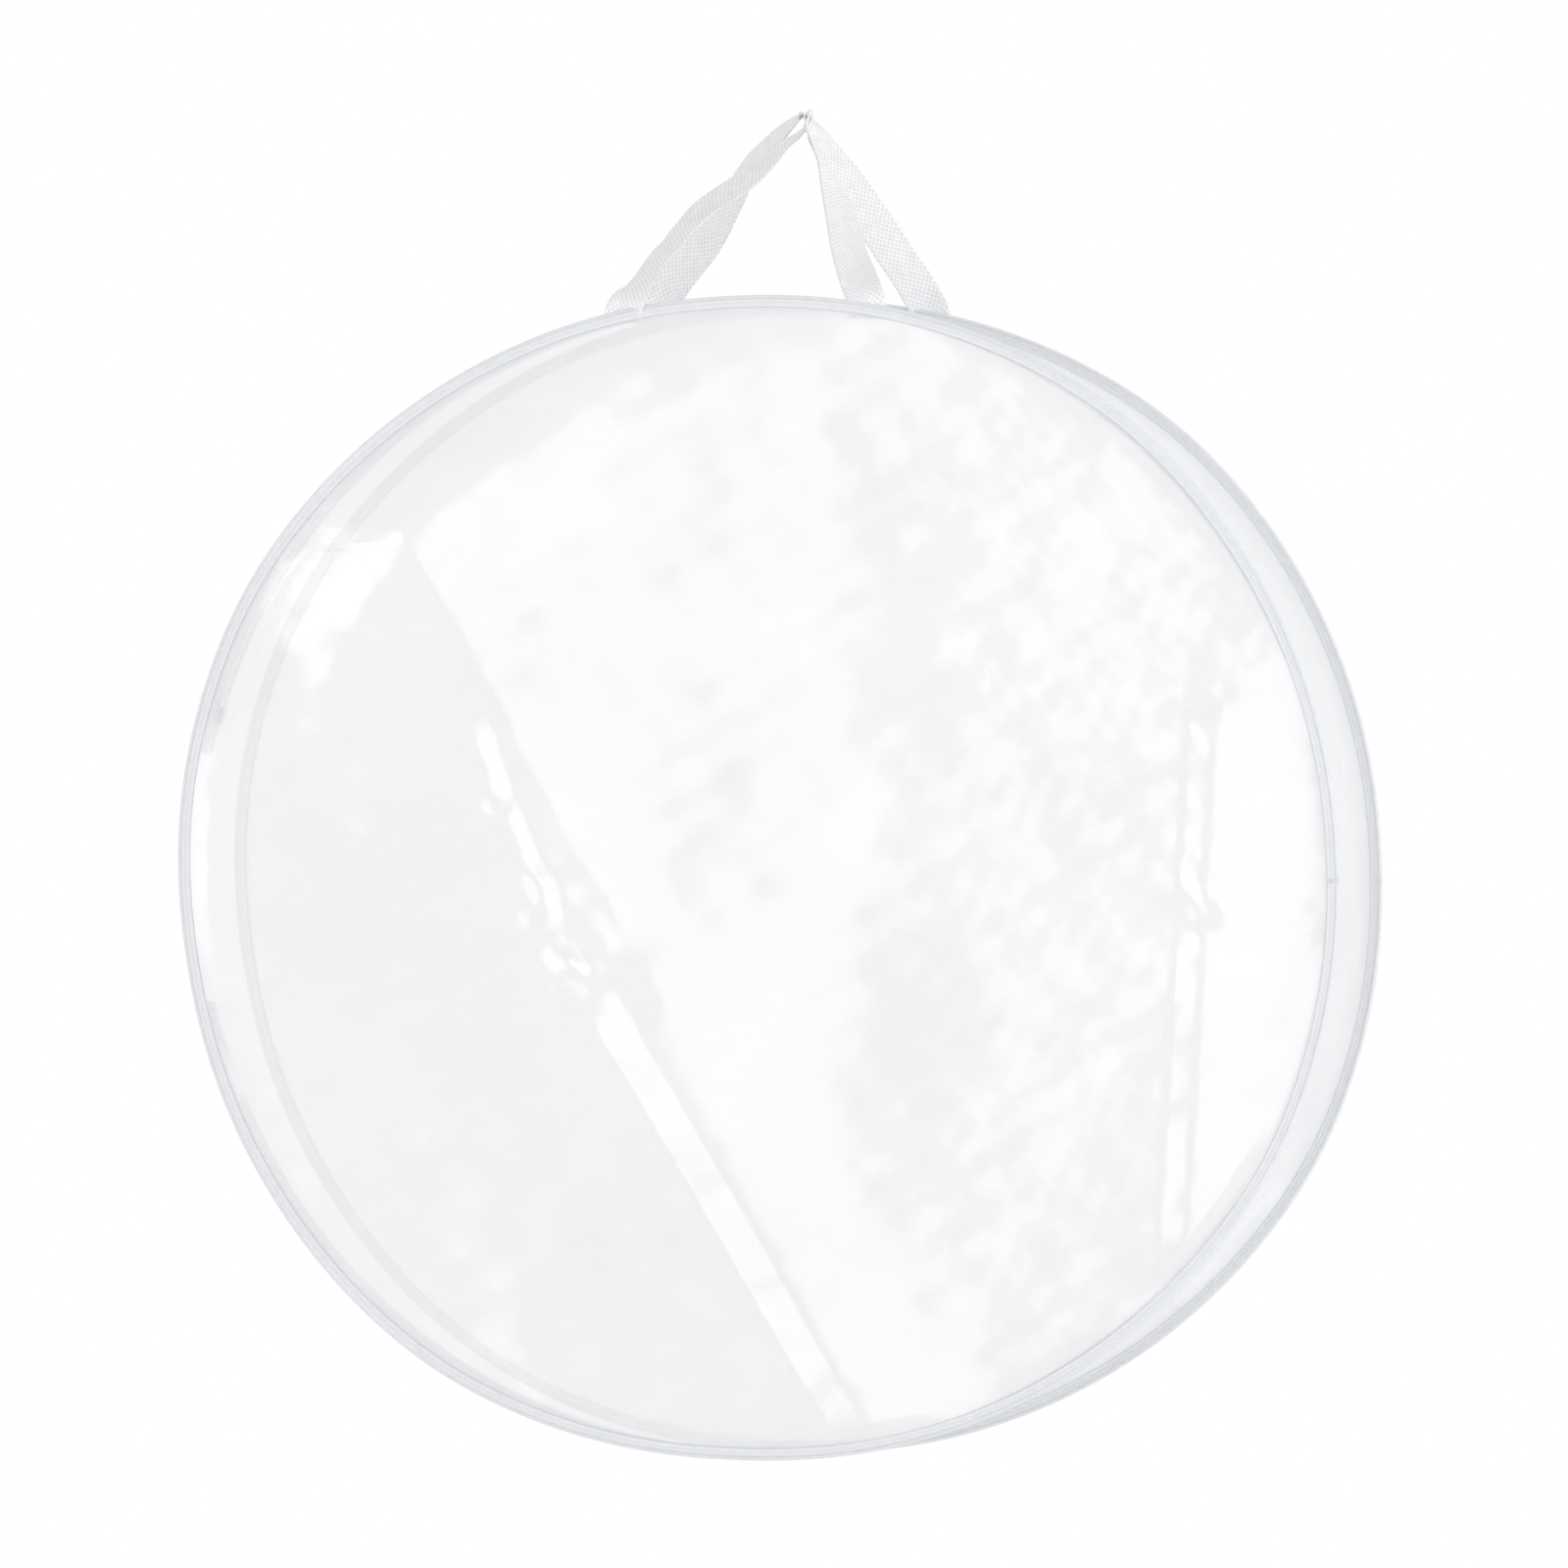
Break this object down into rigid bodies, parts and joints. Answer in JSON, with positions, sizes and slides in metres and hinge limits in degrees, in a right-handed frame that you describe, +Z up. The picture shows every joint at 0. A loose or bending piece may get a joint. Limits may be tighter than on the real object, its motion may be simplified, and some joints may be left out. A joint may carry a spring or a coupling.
{
  "type": "round storage bag",
  "caption": "Round drum-shaped storage bag of clear film with bound rims, a zipped front disc that opens like a door and a webbing carry handle on each rim.",
  "frame": {"origin": "the point where a wall hook carries the gathered handles, under the webbing", "axes": "+Z up, -Y out of the front disc, +X to the right seen from the front; the disc's axis lies along Y"},
  "size_m": [0.762, 0.178, 0.884],
  "materials": {
    "clear_film": "glossy clear vinyl film, slightly hazy",
    "binding_tape": "fine woven polyester tape",
    "webbing": "ribbed woven polypropylene webbing",
    "zip_tape": "fine knitted zip tape",
    "zip_teeth": "moulded nylon coil",
    "slider_metal": "white enamelled die casting"
  },
  "bodies": {
    "bag": {"rear_panel": "clear_film", "rear_binding": "binding_tape", "gusset_wall": "clear_film", "gusset_seam_tape": "binding_tape", "rear_handle_tails": "webbing", "front_panel_edge": "clear_film", "front_binding_edge": "binding_tape", "zip_tape_gusset": "zip_tape", "zip_coil_gusset": "zip_teeth", "zip_end_tab_upper": "binding_tape", "zip_end_tab_lower": "binding_tape"},
    "lid": {"front_panel": "clear_film", "front_binding": "binding_tape", "front_handle_tails": "webbing", "zip_tape_lid": "zip_tape", "zip_coil_lid": "zip_teeth"},
    "front_handle_body": {"front_handle": "webbing"},
    "rear_handle_body": {"rear_handle": "webbing"},
    "slider_body": {"zip_slider": "slider_metal"},
    "pull_body": {"zip_pull": "slider_metal"}
  },
  "joints": [
    {"name": "lid_fold", "type": "hinge", "parent": "bag", "child": "lid", "pos_m": [-0.362, -0.156, -0.486], "axis": [0, 0, -1], "range_deg": [0, 120]},
    {"name": "front_handle_fold", "type": "hinge", "parent": "lid", "child": "front_handle_body", "pos_m": [0, -0.154, -0.10539], "axis": [1, 0, 0], "range_deg": [0, 200]},
    {"name": "rear_handle_fold", "type": "hinge", "parent": "bag", "child": "rear_handle_body", "pos_m": [0, 0.02, -0.10539], "axis": [-1, 0, 0], "range_deg": [0, 155]},
    {"name": "zip_run", "type": "hinge", "parent": "bag", "child": "slider_body", "pos_m": [0, -0.1425, -0.486], "axis": [0, 1, 0], "range_deg": [0, 327]},
    {"name": "pull_swing", "type": "hinge", "parent": "slider_body", "child": "pull_body", "pos_m": [-0.36076, -0.1425, -0.37914], "axis": [0, 1, 0], "range_deg": [0, 165]}
  ]
}
